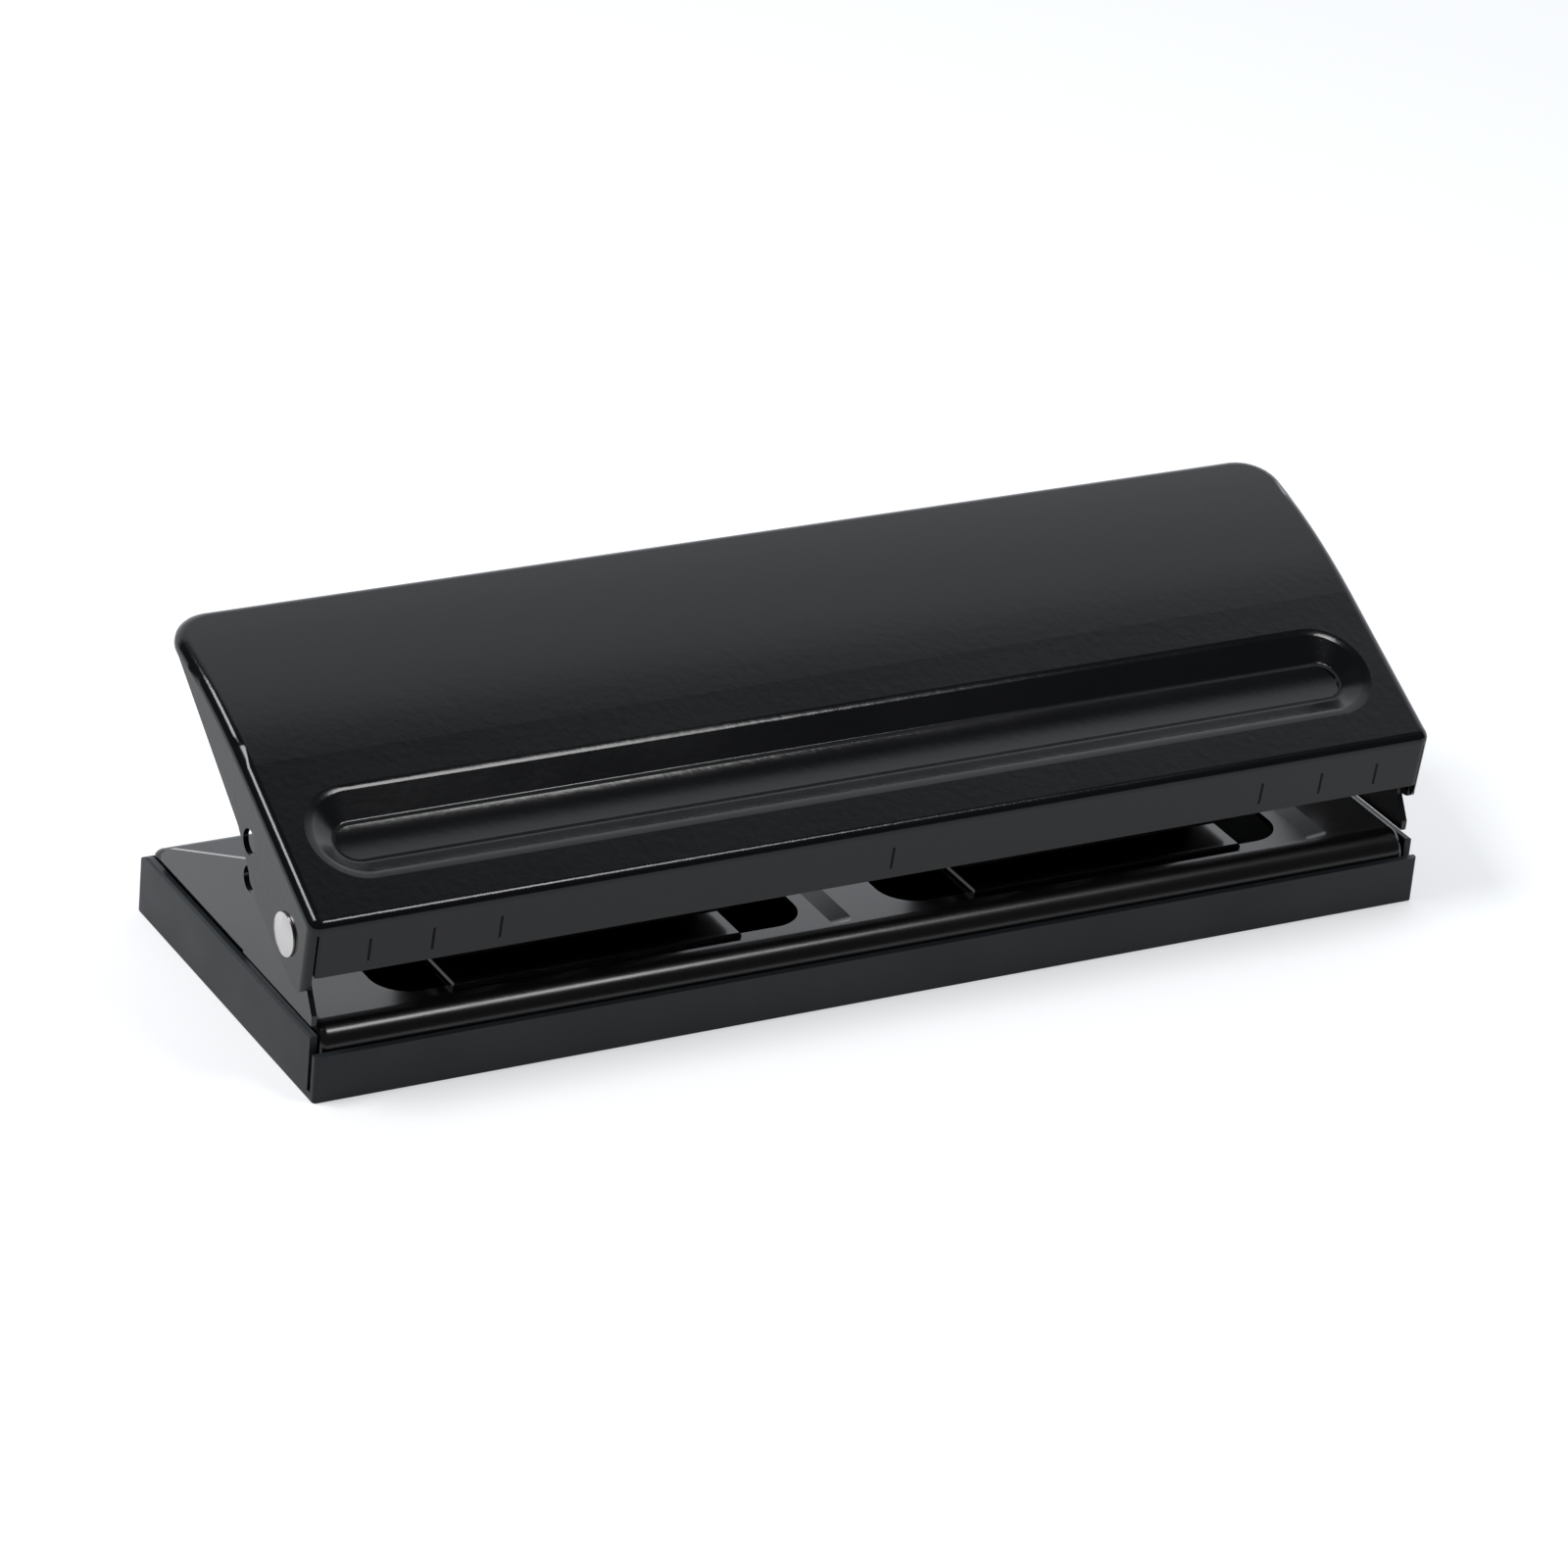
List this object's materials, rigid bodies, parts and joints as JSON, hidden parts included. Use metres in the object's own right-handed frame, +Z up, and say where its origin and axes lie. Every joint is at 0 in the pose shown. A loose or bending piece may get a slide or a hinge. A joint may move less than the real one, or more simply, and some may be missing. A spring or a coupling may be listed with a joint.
{
  "type": "hole punch",
  "caption": "Long desk hole punch with a hinged press handle, sliding punch heads in a slotted base plate and a pull-off chip tray.",
  "frame": {"origin": "middle of the chip tray's underside", "axes": "+X along the punch to the right as the user faces it, +Y to the back, +Z up"},
  "size_m": [0.267, 0.088, 0.0715],
  "materials": {
    "handle_paint": "satin",
    "plate_paint": "gloss",
    "die_paint": "satin",
    "frame_paint": "satin",
    "tray_plastic": "matte",
    "bright_rivet": "bright nickel",
    "zinc_steel": "zinc plated",
    "pin_steel": "ground",
    "spring_steel": "drawn wire"
  },
  "bodies": {
    "base": {"base_plate": "plate_paint", "pivot_rivet_left": "bright_rivet", "pivot_rivet_right": "bright_rivet"},
    "handle": {"handle_cover": "handle_paint"},
    "tray": {"chip_tray": "tray_plastic"},
    "head_left": {"die_plate_left": "die_paint", "back_stop_left": "frame_paint", "punch_frame_left": "frame_paint", "head_rivets_left": "bright_rivet", "retainer_plate_left": "zinc_steel", "retainer_screws_left": "zinc_steel", "return_spring_left_1": "spring_steel", "return_spring_left_2": "spring_steel", "return_spring_left_3": "spring_steel"},
    "pin_left_1": {"punch_pin_left_1": "pin_steel", "pin_collar_left_1": "zinc_steel"},
    "pin_left_2": {"punch_pin_left_2": "pin_steel", "pin_collar_left_2": "zinc_steel"},
    "pin_left_3": {"punch_pin_left_3": "pin_steel", "pin_collar_left_3": "zinc_steel"},
    "head_right": {"die_plate_right": "die_paint", "back_stop_right": "frame_paint", "punch_frame_right": "frame_paint", "head_rivets_right": "bright_rivet", "retainer_plate_right": "zinc_steel", "retainer_screws_right": "zinc_steel", "return_spring_right_1": "spring_steel", "return_spring_right_2": "spring_steel", "return_spring_right_3": "spring_steel"},
    "pin_right_1": {"punch_pin_right_1": "pin_steel", "pin_collar_right_1": "zinc_steel"},
    "pin_right_2": {"punch_pin_right_2": "pin_steel", "pin_collar_right_2": "zinc_steel"},
    "pin_right_3": {"punch_pin_right_3": "pin_steel", "pin_collar_right_3": "zinc_steel"}
  },
  "joints": [
    {"name": "handle_hinge", "type": "hinge", "parent": "base", "child": "handle", "pos_m": [0, -0.02985, 0.0315], "axis": [-1, 0, 0], "range_deg": [0, 28], "stiffness_Nm_per_rad": 1.4, "springref_deg": -28.65},
    {"name": "tray_slide", "type": "slide", "parent": "base", "child": "tray", "axis": [0, 0, -1], "range_m": [0, 0.02]},
    {"name": "head_slide_left", "type": "slide", "parent": "base", "child": "head_left", "axis": [1, 0, 0], "range_m": [-0.009, 0.0195]},
    {"name": "pin_slide_left_1", "type": "slide", "parent": "head_left", "child": "pin_left_1", "axis": [0, 0, -1], "range_m": [0, 0.0053], "deforming": ["return_spring_left_1"]},
    {"name": "pin_slide_left_2", "type": "slide", "parent": "head_left", "child": "pin_left_2", "axis": [0, 0, -1], "range_m": [0, 0.0053], "deforming": ["return_spring_left_2"]},
    {"name": "pin_slide_left_3", "type": "slide", "parent": "head_left", "child": "pin_left_3", "axis": [0, 0, -1], "range_m": [0, 0.0053], "deforming": ["return_spring_left_3"]},
    {"name": "head_slide_right", "type": "slide", "parent": "base", "child": "head_right", "axis": [1, 0, 0], "range_m": [-0.013, 0.016]},
    {"name": "pin_slide_right_1", "type": "slide", "parent": "head_right", "child": "pin_right_1", "axis": [0, 0, -1], "range_m": [0, 0.0053], "deforming": ["return_spring_right_1"]},
    {"name": "pin_slide_right_2", "type": "slide", "parent": "head_right", "child": "pin_right_2", "axis": [0, 0, -1], "range_m": [0, 0.0053], "deforming": ["return_spring_right_2"]},
    {"name": "pin_slide_right_3", "type": "slide", "parent": "head_right", "child": "pin_right_3", "axis": [0, 0, -1], "range_m": [0, 0.0053], "deforming": ["return_spring_right_3"]}
  ],
  "couplings": [
    {"joint": "pin_slide_left_1", "follows": "handle_hinge", "m_per_rad": 0.01064},
    {"joint": "pin_slide_left_2", "follows": "handle_hinge", "m_per_rad": 0.01064},
    {"joint": "pin_slide_left_3", "follows": "handle_hinge", "m_per_rad": 0.01064},
    {"joint": "pin_slide_right_1", "follows": "handle_hinge", "m_per_rad": 0.01064},
    {"joint": "pin_slide_right_2", "follows": "handle_hinge", "m_per_rad": 0.01064},
    {"joint": "pin_slide_right_3", "follows": "handle_hinge", "m_per_rad": 0.01064}
  ]
}
